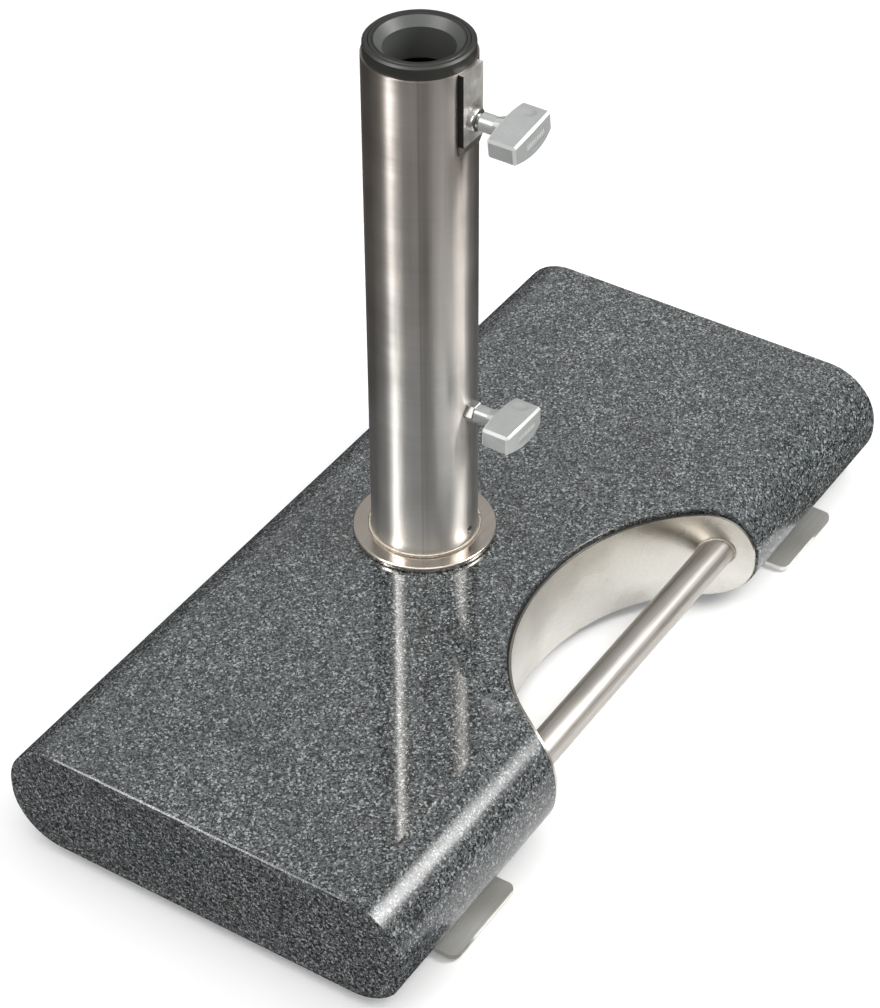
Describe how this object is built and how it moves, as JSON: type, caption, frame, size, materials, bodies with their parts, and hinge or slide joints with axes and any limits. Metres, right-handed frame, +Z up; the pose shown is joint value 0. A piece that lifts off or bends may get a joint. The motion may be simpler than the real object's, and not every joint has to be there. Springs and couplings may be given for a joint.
{
  "type": "parasol base",
  "caption": "Granite slab base with an upright steel tube, nested reducing sleeves, winged clamping screws, flat feet and a recessed carrying bar.",
  "frame": {"origin": "on the floor, under the middle of the slab's footprint; the upright tube stands 33 mm behind it", "axes": "+X along the slab's long side, +Y from the carrying bar towards the back edge, +Z up along the tube"},
  "size_m": [0.546, 0.26, 0.4118],
  "materials": {
    "granite": "polished granite, fine black, grey and pale speckle",
    "brushed_stainless": "fine circumferential brushing, bright",
    "satin_stainless": "satin, softly reflecting",
    "zinc_steel": "plain bright steel",
    "insert_brass": "turned brass",
    "grip_grey": "light silver-grey satin",
    "pad_plastic": "dull black",
    "sleeve_black": "satin black",
    "sealant": "dull black bead",
    "gasket_rubber": "dull black sheet",
    "foot_rubber": "dull black"
  },
  "bodies": {
    "stand": {"base_flange": "satin_stainless", "bolt_nut": "zinc_steel", "bolt_washer": "zinc_steel", "clamp_plate": "satin_stainless", "clamp_plate_weld": "satin_stainless", "flange_gasket": "gasket_rubber", "flange_weld": "satin_stainless", "granite_slab": "granite", "handle_bar": "brushed_stainless", "left_back_anchor_insert": "insert_brass", "left_back_foot_pad": "foot_rubber", "left_back_foot_screw": "zinc_steel", "left_foot_strip": "satin_stainless", "left_front_anchor_insert": "insert_brass", "left_front_foot_pad": "foot_rubber", "left_front_foot_screw": "zinc_steel", "left_handle_weld": "satin_stainless", "left_liner_dowel": "satin_stainless", "left_strip_cushion": "foot_rubber", "liner_sealant": "sealant", "lower_weld_nut": "satin_stainless", "mounting_bolt": "zinc_steel", "recess_liner": "satin_stainless", "right_back_anchor_insert": "insert_brass", "right_back_foot_pad": "foot_rubber", "right_back_foot_screw": "zinc_steel", "right_foot_strip": "satin_stainless", "right_front_anchor_insert": "insert_brass", "right_front_foot_pad": "foot_rubber", "right_front_foot_screw": "zinc_steel", "right_handle_weld": "satin_stainless", "right_liner_dowel": "satin_stainless", "right_strip_cushion": "foot_rubber", "stand_tube": "brushed_stainless", "upper_weld_nut": "satin_stainless"},
    "upper_pad": {"upper_pressure_pad": "pad_plastic"},
    "upper_knob": {"upper_spindle": "zinc_steel", "upper_grip": "grip_grey"},
    "lower_pad": {"lower_pressure_pad": "pad_plastic"},
    "lower_knob": {"lower_spindle": "zinc_steel", "lower_grip": "grip_grey"},
    "outer_reducer": {"outer_sleeve": "sleeve_black"},
    "middle_reducer": {"middle_sleeve": "sleeve_black"},
    "inner_reducer": {"inner_sleeve": "sleeve_black"}
  },
  "joints": [
    {"name": "upper_screw_travel", "type": "slide", "parent": "stand", "child": "upper_pad", "axis": [0, 1, 0], "range_m": [-0.0161, 0.0024]},
    {"name": "upper_knob_turn", "type": "hinge", "parent": "upper_pad", "child": "upper_knob", "pos_m": [0, 0.033, 0.3738], "axis": [0, 1, 0], "range_deg": [-4608, 648]},
    {"name": "lower_screw_travel", "type": "slide", "parent": "stand", "child": "lower_pad", "axis": [0, 1, 0], "range_m": [-0.0161, 0.0001]},
    {"name": "lower_knob_turn", "type": "hinge", "parent": "lower_pad", "child": "lower_knob", "pos_m": [0, 0.033, 0.1788], "axis": [0, 1, 0], "range_deg": [-4608, 0]},
    {"name": "outer_sleeve_lift", "type": "slide", "parent": "stand", "child": "outer_reducer", "axis": [0, 0, 1], "range_m": [0, 0.035]},
    {"name": "middle_sleeve_lift", "type": "slide", "parent": "outer_reducer", "child": "middle_reducer", "axis": [0, 0, 1], "range_m": [0, 0.035]},
    {"name": "inner_sleeve_lift", "type": "slide", "parent": "middle_reducer", "child": "inner_reducer", "axis": [0, 0, 1], "range_m": [0, 0.035]}
  ],
  "couplings": [
    {"joint": "upper_screw_travel", "follows": "upper_knob_turn", "m_per_rad": 0.00019894},
    {"joint": "lower_screw_travel", "follows": "lower_knob_turn", "m_per_rad": 0.00019894}
  ]
}
